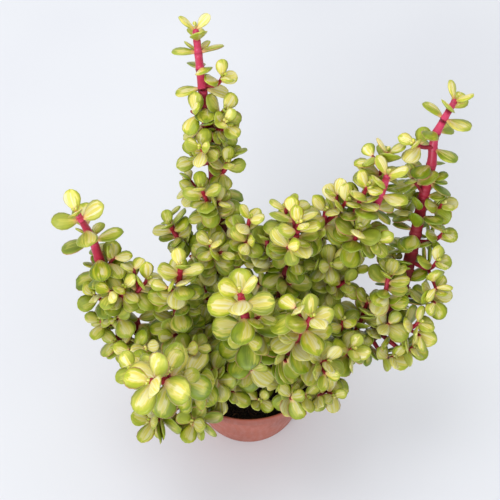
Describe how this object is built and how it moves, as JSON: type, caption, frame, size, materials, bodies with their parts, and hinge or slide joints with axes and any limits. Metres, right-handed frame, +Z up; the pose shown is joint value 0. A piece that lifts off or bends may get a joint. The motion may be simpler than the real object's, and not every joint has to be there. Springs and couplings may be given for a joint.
{
  "type": "dwarf jade bonsai",
  "caption": "Young variegated dwarf jade with fleshy paired leaves on upright and spreading stems, rooted in a round plastic nursery pot of soil.",
  "frame": {"origin": "centre of the pot's flat underside, where it rests", "axes": "+Z up along the pot's axis; -Y towards the side that the picture shows, with the tall stem at the back left; +X to the right"},
  "size_m": [0.2367, 0.1969, 0.2542],
  "materials": {
    "pot": "satin",
    "soil": "matte",
    "leaf": "satin"
  },
  "bodies": {
    "root": {"pot": "pot", "soil": "soil", "stem_tall": "leaf", "stem_left": "leaf", "stem_right": "leaf", "stem_back": "leaf", "stem_front": "leaf", "stem_low": "leaf", "sprig": "leaf"}
  },
  "joints": []
}
